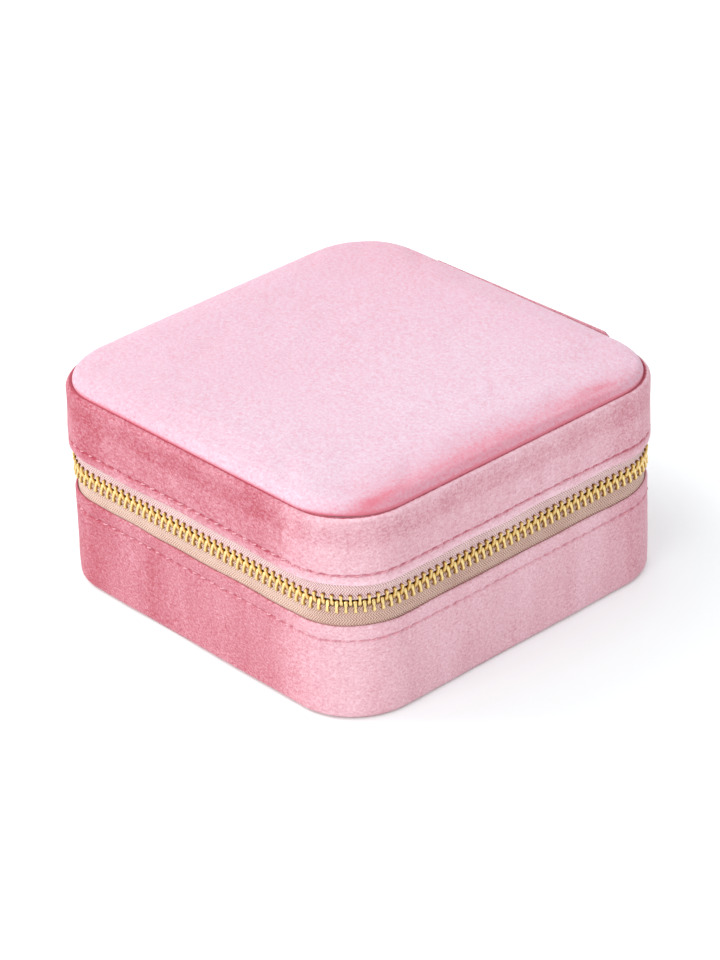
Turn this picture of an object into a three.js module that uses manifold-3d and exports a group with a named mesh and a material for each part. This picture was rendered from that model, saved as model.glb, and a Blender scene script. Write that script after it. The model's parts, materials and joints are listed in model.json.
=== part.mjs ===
// Travel jewelry case: a velvet covered clamshell box, closed on three sides by a metal zip and
// hinged at the back on a velvet strip. Millimetres, +Z up, the hinge at +Y, the origin at the
// centre of the bottom face. Node names ending in _upper or starting with lid_ belong to the lid.
import * as THREE from "three";
import { mergeVertices } from "three/addons/utils/BufferGeometryUtils.js";
import Module from "manifold-3d";

const wasm = await Module();
wasm.setup();
const { Manifold, Mesh } = wasm;

// ---------------------------------------------------------------- driving dimensions
const SIDE = 100; // outer width and depth over the velvet
const CORNER = 16; // outer corner radius in plan
const BASE_TOP = 22.5; // rolled top edge of the base
const LID_BOTTOM = 32.6; // rolled bottom edge of the lid
const LID_SEAM = 48.2; // seam between the lid's side band and its padded top
const LID_TOP = 51.5; // crown of the padded top
const ZIP_Z = 28; // plane in which the zip parts
const GAP = 0.3; // air between neighbouring pieces
const ARC_STEPS = 4; // half the facets in each rounded corner

// Layers of the wall, as distances in from the outer velvet face.
const VELVET = 1; // side band
const TAPE_OUT = 1.3; // outer face of the zip tape
const TAPE_IN = 1.9; // inner face of the zip tape
const SHELL_OUT = 2.2;
const SHELL_IN = 4.2;
const LINER_OUT = 4.5;
const LINER_IN = 6;
const LIP_EASE = 0.9; // rounding of a band's top and bottom edges
const ROOM = SIDE / 2 - LINER_IN; // half the inside width

// Heights inside the base.
const SHELL_FLOOR = 1.2; // underside of the base shell
const FLOOR_BOARD = 2; // thickness of the shell's floor
const PANEL_TOP = 0.9; // top of the bottom cover
const LINER_FOOT = 3.5; // underside of the linings
const FLOOR_TOP = 4.2; // top of the floor lining
const SHELL_RIM = 0.6; // how far a shell's rim stays behind the velvet's rolled edge

// Heights inside the lid.
const ROOF = 45.2; // underside of the lid shell's roof
const ROOF_BOARD = 2; // thickness of the roof
const ROOF_LINING = 1.5; // thickness of the lining under the roof
const GLASS = 72; // side of the mirror
const GLASS_CORNER = 8;
const GLASS_Z = [41.9, 43.1];
const FRAME_WIDTH = 3;
const FRAME_LOW = 41.4; // face of the mirror's frame

// Padded top.
const PAD_FOOT = 47.5; // underside of the foam and of its cover
const FOAM_INSET = 3.2;
const COVER = 1.1; // thickness of the cover over the foam
const COVER_ROLL = 2.6; // rounding of the cover's edge
const FOAM_ROLL = 2; // rounding of the foam's edge

// Topstitching.
const STITCH_WIDTH = 0.4;
const STITCH_PROUD = 0.15; // how far the thread stands off the velvet
const BASE_STITCH_Z = 18.9;
const LID_STITCH_Z = 34.95;

// Zip.
const PITCH = 2.05; // tooth to tooth along one row
const TOOTH_WIDTH = 0.9;
const TOOTH_OUT = 0.4; // outer face of the teeth, in from the velvet face
const TOOTH_IN = 2.8;
const TOOTH_TIP = 0.5; // from the parting plane to a tooth's tip
const TOOTH_ROOT = 2.5; // from the parting plane to the back of a tooth
const CORD = 0.6; // height of the cord behind the teeth
const TAPE_TAIL = 4.5; // how far a tape runs in behind the velvet
const ZIP_END = 29.5; // where the zip starts, either side of the strip

// Hinge.
const STRIP_HALF = 28; // half width of the velvet strip
const STRIP_OUT = [0.2, 1]; // inner and outer face of the strip, out from the case's back
const STRIP_FOOT = 1.5;
const STRIP_TOP = LID_SEAM + 0.5;
const STRIP_GAP = 0.2; // from the parting plane to each half of the strip
const INNER_STRIP = 0.8; // thickness of the lining strip over the hinge
const INNER_TOP = 36;

// Slider, at rest near the back end of the left side.
const SLIDER_Y = 28;
const SLIDER_LENGTH = 9;
const SLIDER_HALF = 3.5; // half its height
const PLATE = 1; // plate thickness
const PLATE_OUT = 0.9; // how far the outer plate stands off the velvet face
const PLATE_CHAMFER = 1; // at the end that faces the closed rows
const PLATE_NOSE = 2.4; // length of the rounded end
const FLANGE = 0.7; // height of the flanges below the lower row
const FLANGE_GAP = 0.35; // between a flange and the tape
const WEDGE_HALF = 0.2; // half thickness of the wedge between the rows
const CROWN_BAR = 0.35; // half the section of the crown's bar
const CROWN_AT = 2.55; // bar's centre, out from the velvet face
const CROWN_SPAN = 3.2; // from the slider's middle to each post
const POST = [0.5, 0.8]; // half the width and half the height of a post

// Pull.
const LINK_WIRE = 0.35; // wire radius
const LINK_HALF = 1; // half the loop's width, to the wire's centre
const LINK_HIGH = ZIP_Z + 0.1; // centre of the loop's top bend
const LINK_LOW = ZIP_Z - 3.7; // centre of the loop's bottom bend
const TAB_TOP = LINK_LOW + 0.55;
const TAB_LENGTH = 18;
const TAB_HALF = 2.4; // half its width
const TAB_NECK = 1.5; // half its width at the top
const TAB_TAPER = 4; // length over which it widens
const TAB_THICK = 0.9;
const TAB_CORNER = 1.5;
const TAB_HOLE = 0.85; // radius

// End stops.
const STOP_HALF = 0.5; // half its length along the tape
const STOP_X = STRIP_HALF + 0.6;

// ---------------------------------------------------------------- materials
const finish = (color, roughness, metalness = 0) => () =>
  new THREE.MeshStandardMaterial({ color, roughness, metalness });
const velvet = finish(0xe9a9b8, 0.9);
const lining = finish(0xe6b4bf, 0.95);
const board = finish(0xcfc4b4, 0.85);
const foam = finish(0xf2ecdf, 0.95);
const tape = finish(0xdcc3bd, 0.85);
const thread = finish(0xc9798d, 0.7);
const brass = finish(0xd9b24c, 0.3, 1);
const mirror = finish(0xe8ecee, 0.03, 1);

// ---------------------------------------------------------------- solids
function solid(geometry) {
  const bare = geometry.index ? geometry.toNonIndexed() : geometry.clone();
  bare.deleteAttribute("normal");
  bare.deleteAttribute("uv");
  const merged = mergeVertices(bare, 1e-4);
  return new Manifold(
    new Mesh({
      numProp: 3,
      vertProperties: new Float32Array(merged.attributes.position.array),
      triVerts: new Uint32Array(merged.index.array),
    }),
  );
}

function geometryOf(manifold) {
  const { vertProperties, triVerts } = manifold.getMesh();
  const made = new THREE.BufferGeometry();
  made.setAttribute("position", new THREE.BufferAttribute(vertProperties, 3));
  made.setIndex(new THREE.BufferAttribute(triVerts, 1));
  const flat = made.toNonIndexed();
  flat.computeVertexNormals();
  return flat;
}

// A rounded rectangle in plan, centred on (x, y).
function roundedRect(width, depth, radius, x = 0, y = 0) {
  const w = width / 2;
  const d = depth / 2;
  const r = Math.max(Math.min(radius, w, d), 0.05);
  const shape = new THREE.Shape();
  shape.moveTo(x - w + r, y - d);
  shape.lineTo(x + w - r, y - d);
  shape.absarc(x + w - r, y - d + r, r, -Math.PI / 2, 0, false);
  shape.lineTo(x + w, y + d - r);
  shape.absarc(x + w - r, y + d - r, r, 0, Math.PI / 2, false);
  shape.lineTo(x - w + r, y + d);
  shape.absarc(x - w + r, y + d - r, r, Math.PI / 2, Math.PI, false);
  shape.lineTo(x - w, y - d + r);
  shape.absarc(x - w + r, y - d + r, r, Math.PI, Math.PI * 1.5, false);
  return shape;
}

// A shape drawn in plan, raised from z0 to z1; bevel rounds its top and bottom edges.
function raised(shape, z0, z1, bevel = 0, bevelSteps = 2, curveSegments = ARC_STEPS) {
  const options = { depth: z1 - z0 - 2 * bevel, bevelEnabled: bevel > 0, curveSegments };
  if (bevel > 0) {
    options.bevelThickness = bevel;
    options.bevelSize = bevel;
    options.bevelOffset = -bevel;
    options.bevelSegments = bevelSteps;
  }
  const made = new THREE.ExtrudeGeometry(shape, options);
  return solid(made.translate(0, 0, z0 + bevel));
}

// The case's outline, set in by a distance, raised from z0 to z1.
function block(inset, z0, z1, bevel = 0) {
  const side = SIDE - 2 * inset;
  return raised(roundedRect(side, side, CORNER - inset), z0, z1, bevel);
}

// A wall that follows the case's outline between two insets.
function wall(outer, inner, z0, z1, bevel = 0) {
  return block(outer, z0, z1, bevel).subtract(block(inner, z0 - 1, z1 + 1));
}

function box(x0, x1, y0, y1, z0, z1) {
  const made = new THREE.BoxGeometry(x1 - x0, y1 - y0, z1 - z0);
  return solid(made.translate((x0 + x1) / 2, (y0 + y1) / 2, (z0 + z1) / 2));
}

const group = new THREE.Group();
function node(name, made, material) {
  const geometry = made instanceof THREE.BufferGeometry ? made : geometryOf(made);
  const mesh = new THREE.Mesh(geometry, material());
  mesh.name = name;
  group.add(mesh);
  return mesh;
}

// A cutter through the middle of the back wall, half wide to each side.
function backCut(half = STRIP_HALF + GAP) {
  return box(-half, half, SIDE / 2 - CORNER / 2, SIDE, -1, LID_TOP + 1);
}

// A line of topstitching on the velvet, from one side of the hinge strip round to the other.
function stitching(z) {
  return wall(-STITCH_PROUD, -0.01, z, z + STITCH_WIDTH).subtract(backCut());
}

// ---------------------------------------------------------------- base
function buildBase() {
  const rim = BASE_TOP - SHELL_RIM;
  const hollow = block(SHELL_IN, SHELL_FLOOR + FLOOR_BOARD, rim + 1);
  node("base_shell", block(SHELL_OUT, SHELL_FLOOR, rim).subtract(hollow), board);
  node("base_side_velvet", wall(0, VELVET, GAP, BASE_TOP, LIP_EASE), velvet);
  node("base_bottom_panel", block(VELVET + GAP, 0, PANEL_TOP), velvet);
  node("base_lining_wall", wall(LINER_OUT, LINER_IN, LINER_FOOT, ZIP_Z - GAP), lining);
  node("base_floor_lining", block(LINER_IN + GAP, LINER_FOOT, FLOOR_TOP), lining);
  node("base_stitching", stitching(BASE_STITCH_Z), thread);
}

const DIVIDER_X = 1; // left face of the long divider
const DIVIDER = 1.6; // divider thickness
const DIVIDER_TOP = 23;
const CROSS_TOP = 22;
const ROLLS = 7;
const ROLL_HEIGHT = 12;

function buildInside() {
  const room = ROOM - GAP;
  const foot = FLOOR_TOP + GAP;
  node("long_divider", box(DIVIDER_X, DIVIDER_X + DIVIDER, -room, room, foot, DIVIDER_TOP), lining);
  const cell = (2 * room - 2 * DIVIDER) / 3;
  for (const i of [1, 2]) {
    const y = -room + i * cell + (i - 1) * DIVIDER;
    const x0 = DIVIDER_X + DIVIDER + GAP;
    const made = box(x0, room, y, y + DIVIDER, foot, CROSS_TOP);
    node(`cross_divider_${i}`, made, lining);
  }
  const span = (2 * room) / ROLLS;
  const inside = block(LINER_IN + GAP, 0, LID_TOP);
  for (let i = 0; i < ROLLS; i += 1) {
    const y = -room + (i + 0.5) * span;
    const roll = ringRoll(-room, DIVIDER_X - GAP, y, span - GAP, foot);
    node(`ring_roll_${i + 1}`, roll.intersect(inside), lining);
  }
}

// A foam roll lying along X: flat underneath, round on top.
function ringRoll(x0, x1, y, width, foot) {
  const w = width / 2;
  const shoulder = ROLL_HEIGHT - w;
  const shape = new THREE.Shape();
  shape.moveTo(-w, 0);
  shape.lineTo(w, 0);
  shape.lineTo(w, shoulder);
  shape.absarc(0, shoulder, w, 0, Math.PI, false);
  shape.lineTo(-w, 0);
  const made = new THREE.ExtrudeGeometry(shape, {
    depth: x1 - x0,
    bevelEnabled: false,
    curveSegments: 6,
  });
  made.rotateX(Math.PI / 2);
  made.rotateZ(Math.PI / 2);
  return solid(made.translate(x0, y, foot));
}

// ---------------------------------------------------------------- lid
function buildLid() {
  const rim = LID_BOTTOM + SHELL_RIM;
  const shell = block(SHELL_OUT, rim, ROOF + ROOF_BOARD).subtract(block(SHELL_IN, rim - 1, ROOF));
  node("lid_shell", shell, board);
  node("lid_side_velvet", wall(0, VELVET, LID_BOTTOM, LID_SEAM, LIP_EASE), velvet);
  node("lid_stitching", stitching(LID_STITCH_Z), thread);

  const lined = ROOF - GAP;
  const face = 2 * (ROOM - GAP);
  const panel = roundedRect(face, face, CORNER - LINER_IN - GAP);
  node("lid_lining_wall", wall(LINER_OUT, LINER_IN, ZIP_Z + GAP, lined), lining);
  node("lid_lining_panel", raised(panel, lined - ROOF_LINING, lined), lining);
}

// The foam under the top and its cover: both are the upper part of a block with a rolled edge.
function buildPad() {
  const above = box(-SIDE, SIDE, -SIDE, SIDE, PAD_FOOT, LID_TOP + 1);
  const foamTop = LID_TOP - COVER;
  const low = PAD_FOOT - 2 * COVER_ROLL; // far enough below the foot to cut the lower roll off
  const pad = block(FOAM_INSET, low, foamTop, FOAM_ROLL);
  node("lid_foam_pad", pad.intersect(above), foam);
  const hollow = block(FOAM_INSET - GAP, low, foamTop + GAP, FOAM_ROLL);
  const cover = block(VELVET + GAP, low, LID_TOP, COVER_ROLL).subtract(hollow);
  node("lid_top_velvet", cover.intersect(above), velvet);
}

function buildMirror() {
  const [low, high] = GLASS_Z;
  const square = (side, radius) => roundedRect(side, side, radius);
  node("mirror_glass", raised(square(GLASS, GLASS_CORNER), low, high), mirror);
  const outer = square(GLASS + 2 * FRAME_WIDTH, GLASS_CORNER + 2);
  const sight = raised(square(GLASS + 2 * GAP, GLASS_CORNER + GAP), low - 2, high + 2);
  node("mirror_frame", raised(outer, FRAME_LOW, high, 0.5).subtract(sight), lining);
}

// ---------------------------------------------------------------- zip
// The zip's line, from one end of the hinge strip round the front to the other end, at an inset.
function zipLine(inset) {
  const half = SIDE / 2 - inset;
  const centre = SIDE / 2 - CORNER;
  const radius = CORNER - inset;
  const line = new THREE.CurvePath();
  const at = (x, y) => new THREE.Vector2(x, y);
  const arc = (x, y, from) =>
    new THREE.EllipseCurve(x, y, radius, radius, from, from - Math.PI / 2, true);
  line.add(new THREE.LineCurve(at(ZIP_END, half), at(centre, half)));
  line.add(arc(centre, centre, Math.PI / 2));
  line.add(new THREE.LineCurve(at(half, centre), at(half, -centre)));
  line.add(arc(centre, -centre, 0));
  line.add(new THREE.LineCurve(at(centre, -half), at(-centre, -half)));
  line.add(arc(-centre, -centre, -Math.PI / 2));
  line.add(new THREE.LineCurve(at(-half, -centre), at(-half, centre)));
  line.add(arc(-centre, centre, -Math.PI));
  line.add(new THREE.LineCurve(at(-centre, half), at(-ZIP_END, half)));
  return line;
}

// A row of teeth on its cord. side is 1 for the lid's row and -1 for the base's row.
function toothRow(side) {
  const z0 = ZIP_Z + (side > 0 ? TOOTH_ROOT - CORD : -TOOTH_ROOT);
  const cord = wall(TOOTH_OUT, TOOTH_IN, z0, z0 + CORD).subtract(backCut(ZIP_END));
  const middle = (TOOTH_OUT + TOOTH_IN) / 2;
  const line = zipLine(middle);
  const length = line.getLength();
  const count = Math.floor((length - 2) / PITCH);
  const start = (length - (count - 0.5) * PITCH) / 2;
  const depth = TOOTH_IN - TOOTH_OUT;
  const height = TOOTH_ROOT - TOOTH_TIP;
  const teeth = [];
  for (let i = 0; i < count; i += 1) {
    const u = (start + (i + (side > 0 ? 0 : 0.5)) * PITCH) / length;
    const p = line.getPointAt(u);
    const t = line.getTangentAt(u);
    const tooth = new THREE.BoxGeometry(TOOTH_WIDTH, depth, height);
    tooth.rotateZ(Math.atan2(t.y, t.x));
    tooth.translate(p.x, p.y, ZIP_Z + side * (TOOTH_TIP + height / 2));
    teeth.push(solid(tooth));
  }
  return Manifold.union([cord, ...teeth]);
}

function buildZip() {
  const cut = backCut(STRIP_HALF - 3); // the tapes' ends are tucked under the strip
  const edge = TOOTH_ROOT + GAP; // from the parting plane to a tape's free edge
  const band = (z0, z1) => wall(TAPE_OUT, TAPE_IN, z0, z1).subtract(cut);
  node("zip_tape_upper", band(ZIP_Z + edge, LID_BOTTOM + TAPE_TAIL), tape);
  node("zip_tape_lower", band(BASE_TOP - TAPE_TAIL, ZIP_Z - edge), tape);
  node("zip_teeth_upper", toothRow(1), brass);
  node("zip_teeth_lower", toothRow(-1), brass);
}

// ---------------------------------------------------------------- hinge
function buildHinge() {
  const sheet = (z0, z1, y0, y1) => box(-STRIP_HALF, STRIP_HALF, y0, y1, z0, z1);
  const [near, far] = STRIP_OUT.map((out) => SIDE / 2 + out);
  const below = ZIP_Z - STRIP_GAP;
  const above = ZIP_Z + STRIP_GAP;
  node("hinge_strip_lower", sheet(STRIP_FOOT, below, near, far), velvet);
  node("hinge_strip_upper", sheet(above, STRIP_TOP, near, far), velvet);
  const inner = ROOM - STRIP_GAP;
  node("hinge_lining_lower", sheet(DIVIDER_TOP + GAP, below, inner - INNER_STRIP, inner), lining);
  node("hinge_lining_upper", sheet(above, INNER_TOP, inner - INNER_STRIP, inner), lining);
}

// ---------------------------------------------------------------- slider and pull
// These are drawn on the left face: out is the distance out from the velvet face.
const leftX = (out) => -SIDE / 2 - out;
function leftBox(out0, out1, y0, y1, z0, z1) {
  return box(leftX(out1), leftX(out0), y0, y1, z0, z1);
}

// A flat piece drawn in the plane of the left face (y across, z up), with its outer face at out.
function plateOf(shape, out, thickness, curveSegments) {
  const options = { depth: thickness, bevelEnabled: false, curveSegments };
  const made = new THREE.ExtrudeGeometry(shape, options);
  made.rotateX(Math.PI / 2);
  made.rotateZ(Math.PI / 2);
  return solid(made.translate(leftX(out), 0, 0));
}

// The slider's plates are cut straight behind and rounded to a nose in front.
function sliderOutline(y0, y1, low, high) {
  const shape = new THREE.Shape();
  shape.moveTo(y0, low + PLATE_CHAMFER);
  shape.lineTo(y0 + PLATE_CHAMFER, low);
  shape.lineTo(y1 - PLATE_NOSE, low);
  shape.quadraticCurveTo(y1, low + PLATE_CHAMFER, y1, ZIP_Z);
  shape.quadraticCurveTo(y1, high - PLATE_CHAMFER, y1 - PLATE_NOSE, high);
  shape.lineTo(y0 + PLATE_CHAMFER, high);
  shape.lineTo(y0, high - PLATE_CHAMFER);
  return shape;
}

function buildSlider() {
  const y0 = SLIDER_Y - SLIDER_LENGTH / 2;
  const y1 = SLIDER_Y + SLIDER_LENGTH / 2;
  const low = ZIP_Z - SLIDER_HALF;
  const outline = sliderOutline(y0, y1, low, ZIP_Z + SLIDER_HALF);
  const bite = 0.2; // how far the flanges and the wedge reach into the plates
  const outerIn = PLATE_OUT - PLATE + bite;
  const innerOut = -(TOOTH_IN + GAP) - bite;
  const flange = (out0, out1) =>
    leftBox(out0, out1, y0 + PLATE_CHAMFER, y1 - PLATE_NOSE, low, low + FLANGE);
  const body = Manifold.union([
    plateOf(outline, PLATE_OUT, PLATE, 3),
    plateOf(outline, innerOut + bite, PLATE, 3),
    leftBox(innerOut, outerIn, y1 - 4, y1 - 1, ZIP_Z - WEDGE_HALF, ZIP_Z + WEDGE_HALF),
    flange(FLANGE_GAP - TAPE_OUT, outerIn),
    flange(innerOut, -FLANGE_GAP - TAPE_IN),
  ]);
  node("slider_body", body, brass);
}

// A bar along the slider, held off its outer plate by a post at each end.
function buildCrown() {
  const foot = PLATE_OUT + GAP / 2;
  const [along, up] = POST;
  const post = (y) => leftBox(foot, CROWN_AT, y - along, y + along, ZIP_Z - up, ZIP_Z + up);
  const near = SLIDER_Y - CROWN_SPAN;
  const far = SLIDER_Y + CROWN_SPAN;
  const bar = leftBox(
    CROWN_AT - CROWN_BAR,
    CROWN_AT + CROWN_BAR,
    near,
    far,
    ZIP_Z - CROWN_BAR,
    ZIP_Z + CROWN_BAR,
  );
  node("slider_crown", Manifold.union([bar, post(near), post(far)]), brass);
}

// The link is a stadium loop of wire in the plane across the crown's bar.
function buildLink() {
  const stadium = (half) => {
    const shape = new THREE.Shape();
    shape.absarc(0, LINK_HIGH, half, 0, Math.PI, false);
    shape.absarc(0, LINK_LOW, half, Math.PI, Math.PI * 2, false);
    return shape;
  };
  const loop = stadium(LINK_HALF + LINK_WIRE);
  loop.holes.push(stadium(LINK_HALF - LINK_WIRE));
  const options = { depth: 2 * LINK_WIRE, bevelEnabled: false, curveSegments: 5 };
  const wire = new THREE.ExtrudeGeometry(loop, options);
  wire.rotateX(Math.PI / 2);
  wire.translate(leftX(CROWN_AT), SLIDER_Y + LINK_WIRE, 0);
  node("pull_link", solid(wire), brass);
}

// The tab hangs flat along the case's side with the link's lower bend through its hole.
function buildTab() {
  const bottom = TAB_TOP - TAB_LENGTH + TAB_CORNER;
  const side = TAB_HALF - TAB_CORNER;
  const tab = new THREE.Shape();
  tab.moveTo(-TAB_NECK, TAB_TOP);
  tab.lineTo(-TAB_HALF, TAB_TOP - TAB_TAPER);
  tab.lineTo(-TAB_HALF, bottom);
  tab.absarc(-side, bottom, TAB_CORNER, Math.PI, Math.PI * 1.5, false);
  tab.absarc(side, bottom, TAB_CORNER, Math.PI * 1.5, Math.PI * 2, false);
  tab.lineTo(TAB_HALF, TAB_TOP - TAB_TAPER);
  tab.lineTo(TAB_NECK, TAB_TOP);
  const hole = new THREE.Path();
  hole.absarc(0, LINK_LOW - LINK_HALF - GAP / 2, TAB_HOLE, 0, Math.PI * 2, true);
  tab.holes.push(hole);
  const made = plateOf(tab, CROWN_AT + TAB_THICK / 2, TAB_THICK, 6);
  node("pull_tab", made.translate([0, SLIDER_Y, 0]), brass);
}

// Stops crimped on the tapes at the ends of the rows, just short of the hinge strip.
function buildStops() {
  const outer = SIDE / 2 - TOOTH_OUT;
  const inner = SIDE / 2 - TOOTH_IN;
  const rows = {
    lower: [ZIP_Z - TOOTH_ROOT, ZIP_Z - TOOTH_TIP],
    upper: [ZIP_Z + TOOTH_TIP, ZIP_Z + TOOTH_ROOT],
  };
  for (const [row, [z0, z1]] of Object.entries(rows)) {
    for (const [end, x] of [["left", -STOP_X], ["right", STOP_X]]) {
      const stop = box(x - STOP_HALF, x + STOP_HALF, inner, outer, z0, z1);
      node(`end_stop_${end}_${row}`, stop, brass);
    }
  }
}

buildBase();
buildInside();
buildLid();
buildPad();
buildMirror();
buildZip();
buildHinge();
buildSlider();
buildCrown();
buildLink();
buildTab();
buildStops();

export default group;
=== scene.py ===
import json
import math
import bmesh
import bpy
import numpy as np
from mathutils import Matrix, Vector


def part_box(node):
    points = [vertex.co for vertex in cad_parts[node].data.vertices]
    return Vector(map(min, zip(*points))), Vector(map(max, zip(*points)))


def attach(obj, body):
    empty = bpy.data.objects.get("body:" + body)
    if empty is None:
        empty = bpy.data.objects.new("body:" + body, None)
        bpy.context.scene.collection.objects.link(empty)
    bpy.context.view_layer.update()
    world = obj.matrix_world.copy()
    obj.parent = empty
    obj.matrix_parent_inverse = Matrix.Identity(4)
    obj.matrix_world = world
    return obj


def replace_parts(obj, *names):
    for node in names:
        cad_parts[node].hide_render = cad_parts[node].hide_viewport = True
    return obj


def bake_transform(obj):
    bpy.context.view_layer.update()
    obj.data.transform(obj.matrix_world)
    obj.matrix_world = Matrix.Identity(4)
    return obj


# Travel jewelry case: velvet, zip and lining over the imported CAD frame. Metres, +Z up, hinge at +Y.
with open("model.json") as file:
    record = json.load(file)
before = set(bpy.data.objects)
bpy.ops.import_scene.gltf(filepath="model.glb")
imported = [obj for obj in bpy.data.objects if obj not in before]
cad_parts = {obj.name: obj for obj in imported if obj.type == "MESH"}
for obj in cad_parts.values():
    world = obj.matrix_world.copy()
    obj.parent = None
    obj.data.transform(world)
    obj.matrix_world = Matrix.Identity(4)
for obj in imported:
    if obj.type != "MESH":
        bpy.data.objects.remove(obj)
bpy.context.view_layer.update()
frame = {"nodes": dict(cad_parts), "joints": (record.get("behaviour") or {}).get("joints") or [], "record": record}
nodes = frame["nodes"]
MM = 0.001

# ---------------------------------------------------------------- sizes, from the frame
base_lo, base_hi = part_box("base_side_velvet")
lid_lo, lid_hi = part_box("lid_side_velvet")
slider_lo, slider_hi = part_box("slider_body")
hinge = next(j for j in frame["joints"] if j["name"] == "lid_hinge")
HALF = base_hi.x  # half the outer width
CORNER = 16 * MM  # outer corner radius in plan
LIP_LOW = base_hi.z  # top of the base's rolled lip
LIP_HIGH = lid_lo.z  # bottom of the lid's rolled lip
SEAM = lid_hi.z  # seam under the padded top
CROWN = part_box("lid_top_velvet")[1].z
ZIP_Z = hinge["pos_m"][2]  # plane in which the zip parts
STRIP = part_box("hinge_strip_lower")[1].x  # half width of the hinge strip
SLIDER_Y = (slider_lo.y + slider_hi.y) / 2
WHOLE = 8 * (HALF - CORNER) + 2 * math.pi * CORNER  # the outline's whole length

# ---------------------------------------------------------------- sizes of the details
THICK = 1.15 * MM  # velvet with the turned-in edge behind it
BASE_SHY = 0.4 * MM  # how far the base's velvet stays behind the lid's
BAND_STEP = 0.55 * MM  # mesh step along the side bands
BAND_RISE = 0.3 * MM  # mesh step up their outer faces
BAND_BACK = 2.5 * MM  # mesh step up their hidden faces

STITCH_PITCH = 3.0 * MM
STITCH_LENGTH = 1.9 * MM
STITCH_START = 29.4 * MM  # first needle hole, from the middle of the back
THREAD_RADIUS = 0.16 * MM
BASE_STITCH_Z = (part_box("base_stitching")[0].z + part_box("base_stitching")[1].z) / 2
LID_STITCH_Z = (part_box("lid_stitching")[0].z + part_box("lid_stitching")[1].z) / 2

TAPE_INSET = 1.2 * MM  # of the tape's outer face
TAPE_THICK = 0.45 * MM
BEAD_Z = 1.3 * MM  # of the tape's bead, from the parting plane
BEAD_RADIUS = 0.5 * MM
TOOTH_PITCH = 2.05 * MM
TOOTH_START = 29.5 * MM  # ends of the rows, from the middle of the back
TOOTH_INSET = 1.6 * MM  # of the middle of the teeth
TOOTH_PARTING = 0.55 * MM  # how far a row stands off where the zip is open
PARTING_RUN = 14 * MM  # over which the slider closes the rows

PAD_EDGE = 1.3 * MM  # inset of the padded top's crease
PAD_CORNER = CORNER + 0.8 * MM
PAD_ROLL = 4.0 * MM  # width of its rolled edge
PAD_TUCK = 0.8 * MM  # how far the cloth goes in under the roll
PAD_RINGS = 40  # rings of quads from the middle to the foot of the roll
PAD_ROLL_RINGS = 12
PAD_PINNED_RINGS = 6

STRIP_RISE = 0.4 * MM  # of the hinge strip's top over the frame's strip
STRIP_CORNER = 1.6 * MM
STRIP_BEND = 3 * MM  # half height of its finely divided part at the hinge
LINING_THICK = 0.6 * MM
BOARD_EDGE = 0.6 * MM  # rounding of the dividers


def linear(r, g, b):
    """An sRGB colour, 0 to 255, as the linear colour a shader takes."""
    def one(c):
        c /= 255
        return c / 12.92 if c <= 0.04045 else ((c + 0.055) / 1.055) ** 2.4
    return (one(r), one(g), one(b), 1)


def smooth(x, low, high):
    """0 below low, 1 above high, and a smooth rise between."""
    t = np.clip((np.asarray(x, float) - low) / (high - low), 0, 1)
    return t * t * (3 - 2 * t)


def hills(points, size, seed, waves=24):
    """Smooth random hills of about unit height over points, each about size across."""
    rng = np.random.default_rng(seed)
    k = rng.normal(size=(waves, 3))
    k *= (math.pi / size) * rng.uniform(0.6, 1.4, (waves, 1)) / np.linalg.norm(k, axis=1, keepdims=True)
    phase = rng.uniform(0, 2 * math.pi, waves)
    return np.cos(points @ k.T + phase).sum(axis=-1) * math.sqrt(2 / waves)


# ---------------------------------------------------------------- the case's outline
def outline(step):
    """Points, outward normals and distances round the case, from the middle of the back towards -X."""
    straight = HALF - CORNER
    lines = max(2, round(straight / step))
    arcs = max(4, round(CORNER * math.pi / 2 / step))
    points, normals = [], []

    def line(x0, y0, x1, y1, count, nx, ny):
        for t in np.arange(count) / count:
            points.append((x0 + (x1 - x0) * t, y0 + (y1 - y0) * t))
            normals.append((nx, ny))

    line(0, HALF, -straight, HALF, lines, 0, 1)
    for k in range(4):
        start = math.pi / 2 * (k + 1)
        cx = straight * (-1 if k in (0, 1) else 1)
        cy = straight * (-1 if k in (1, 2) else 1)
        for t in np.arange(arcs) / arcs:
            a = start + t * math.pi / 2
            points.append((cx + CORNER * math.cos(a), cy + CORNER * math.sin(a)))
            normals.append((math.cos(a), math.sin(a)))
        nx, ny = round(math.cos(start + math.pi / 2)), round(math.sin(start + math.pi / 2))
        x0, y0 = cx + CORNER * nx, cy + CORNER * ny
        length = straight if k == 3 else 2 * straight
        line(x0, y0, x0 - ny * length, y0 + nx * length, lines if k == 3 else 2 * lines, nx, ny)
    points, normals = np.array(points), np.array(normals)
    gaps = np.linalg.norm(np.roll(points, -1, axis=0) - points, axis=1)
    return points, normals, np.concatenate([[0], np.cumsum(gaps)])


FINE_OUTLINE = outline(0.25 * MM)


def at(s):
    """Point and outward normal on the outline at distances s from the middle of the back."""
    points, normals, run = FINE_OUTLINE
    s = np.mod(s, WHOLE) * run[-1] / WHOLE
    closed_p, closed_n = np.vstack([points, points[:1]]), np.vstack([normals, normals[:1]])
    p = np.stack([np.interp(s, run, closed_p[:, k]) for k in (0, 1)], axis=-1)
    n = np.stack([np.interp(s, run, closed_n[:, k]) for k in (0, 1)], axis=-1)
    return p, n / np.linalg.norm(n, axis=-1, keepdims=True)


# ---------------------------------------------------------------- mesh helpers
def set_tone_and_shade(mesh, values):
    """Stores one number per vertex, the tone with its painted light and shade, that the materials read."""
    tone = mesh.attributes.new("tone_and_shade", "FLOAT", "POINT")
    tone.data.foreach_set("value", np.asarray(values, np.float32).ravel())


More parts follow.
